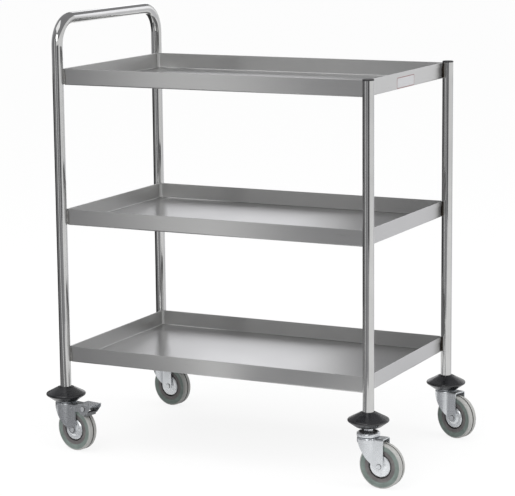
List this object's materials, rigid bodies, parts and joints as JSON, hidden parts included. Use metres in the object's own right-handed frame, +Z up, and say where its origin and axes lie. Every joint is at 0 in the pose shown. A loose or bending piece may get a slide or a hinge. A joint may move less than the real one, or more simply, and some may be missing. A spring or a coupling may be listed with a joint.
{
  "type": "three-tier service trolley",
  "caption": "Stainless service trolley: welded trays between round tube posts, a bent tube push handle at one end, rubber bumpers and swivelling castors, braked at the handle end.",
  "frame": {"origin": "on the floor, under the middle of the outer box", "axes": "+X along the trays, away from the handle; +Y across them, towards the rear; +Z up"},
  "size_m": [0.8894, 0.551, 1.002],
  "materials": {
    "polished_tube": "polished",
    "satin_steel": "satin, fine grain along the trays",
    "weld": "heat-darkened",
    "black_plastic": "satin",
    "black_rubber": "slight sheen",
    "dark_seal": "matt",
    "plug_plastic": "matt",
    "grey_tyre": "matt grey",
    "rim_plastic": "matt",
    "dark_steel": "dull",
    "zinc_plate": "bright zinc plate"
  },
  "bodies": {
    "frame": {"bottom_tray": "satin_steel", "bottom_tray_welds": "weld", "front_left_bumper": "black_rubber", "front_left_leg_plug": "plug_plastic", "front_left_stem": "zinc_plate", "front_left_upper_race": "zinc_plate", "front_post_cap": "black_plastic", "front_right_bumper": "black_rubber", "front_right_leg_plug": "plug_plastic", "front_right_post": "polished_tube", "front_right_stem": "zinc_plate", "front_right_upper_race": "zinc_plate", "handle_frame": "polished_tube", "middle_tray": "satin_steel", "middle_tray_welds": "weld", "rear_left_bumper": "black_rubber", "rear_left_leg_plug": "plug_plastic", "rear_left_stem": "zinc_plate", "rear_left_upper_race": "zinc_plate", "rear_post_cap": "black_plastic", "rear_right_bumper": "black_rubber", "rear_right_leg_plug": "plug_plastic", "rear_right_post": "polished_tube", "rear_right_stem": "zinc_plate", "rear_right_upper_race": "zinc_plate", "swivel_balls": "zinc_plate", "swivel_seals": "dark_seal", "top_tray": "satin_steel", "top_tray_welds": "weld"},
    "front_left_castor": {"front_left_fork": "zinc_plate", "front_left_axle": "zinc_plate", "front_left_axle_sleeve": "zinc_plate", "front_left_thread_guards": "zinc_plate", "front_left_brake_rivet": "zinc_plate"},
    "front_left_wheel": {"front_left_wheel_rim": "rim_plastic", "front_left_tyre": "grey_tyre"},
    "front_left_pedal": {"front_left_brake_pedal": "zinc_plate", "front_left_brake_shoe": "dark_steel"},
    "rear_left_castor": {"rear_left_fork": "zinc_plate", "rear_left_axle": "zinc_plate", "rear_left_axle_sleeve": "zinc_plate", "rear_left_thread_guards": "zinc_plate", "rear_left_brake_rivet": "zinc_plate"},
    "rear_left_wheel": {"rear_left_wheel_rim": "rim_plastic", "rear_left_tyre": "grey_tyre"},
    "rear_left_pedal": {"rear_left_brake_pedal": "zinc_plate", "rear_left_brake_shoe": "dark_steel"},
    "front_right_castor": {"front_right_fork": "zinc_plate", "front_right_axle": "zinc_plate", "front_right_axle_sleeve": "zinc_plate", "front_right_thread_guards": "zinc_plate"},
    "front_right_wheel": {"front_right_wheel_rim": "rim_plastic", "front_right_tyre": "grey_tyre"},
    "rear_right_castor": {"rear_right_fork": "zinc_plate", "rear_right_axle": "zinc_plate", "rear_right_axle_sleeve": "zinc_plate", "rear_right_thread_guards": "zinc_plate"},
    "rear_right_wheel": {"rear_right_wheel_rim": "rim_plastic", "rear_right_tyre": "grey_tyre"}
  },
  "joints": [
    {"name": "front_left_swivel", "type": "hinge", "parent": "frame", "child": "front_left_castor", "pos_m": [-0.3992, -0.23, 0.1105], "axis": [0, 0, 1], "continuous": true},
    {"name": "front_left_roll", "type": "hinge", "parent": "front_left_castor", "child": "front_left_wheel", "pos_m": [-0.36643, -0.23697, 0.05], "axis": [0.2079, 0.9781, 0], "continuous": true},
    {"name": "front_left_brake", "type": "hinge", "parent": "front_left_castor", "child": "front_left_pedal", "pos_m": [-0.33152, -0.24439, 0.1044], "axis": [0.2079, 0.9781, 0], "range_deg": [0, 12]},
    {"name": "rear_left_swivel", "type": "hinge", "parent": "frame", "child": "rear_left_castor", "pos_m": [-0.3992, 0.23, 0.1105], "axis": [0, 0, 1], "continuous": true},
    {"name": "rear_left_roll", "type": "hinge", "parent": "rear_left_castor", "child": "rear_left_wheel", "pos_m": [-0.36643, 0.22304, 0.05], "axis": [0.2079, 0.9781, 0], "continuous": true},
    {"name": "rear_left_brake", "type": "hinge", "parent": "rear_left_castor", "child": "rear_left_pedal", "pos_m": [-0.33152, 0.21561, 0.1044], "axis": [0.2079, 0.9781, 0], "range_deg": [0, 12]},
    {"name": "front_right_swivel", "type": "hinge", "parent": "frame", "child": "front_right_castor", "pos_m": [0.3608, -0.23, 0.1105], "axis": [0, 0, 1], "continuous": true},
    {"name": "front_right_roll", "type": "hinge", "parent": "front_right_castor", "child": "front_right_wheel", "pos_m": [0.39422, -0.23234, 0.05], "axis": [0.0698, 0.9976, 0], "continuous": true},
    {"name": "rear_right_swivel", "type": "hinge", "parent": "frame", "child": "rear_right_castor", "pos_m": [0.3608, 0.23, 0.1105], "axis": [0, 0, 1], "continuous": true},
    {"name": "rear_right_roll", "type": "hinge", "parent": "rear_right_castor", "child": "rear_right_wheel", "pos_m": [0.39248, 0.21909, 0.05], "axis": [0.3256, 0.9455, 0], "continuous": true}
  ]
}
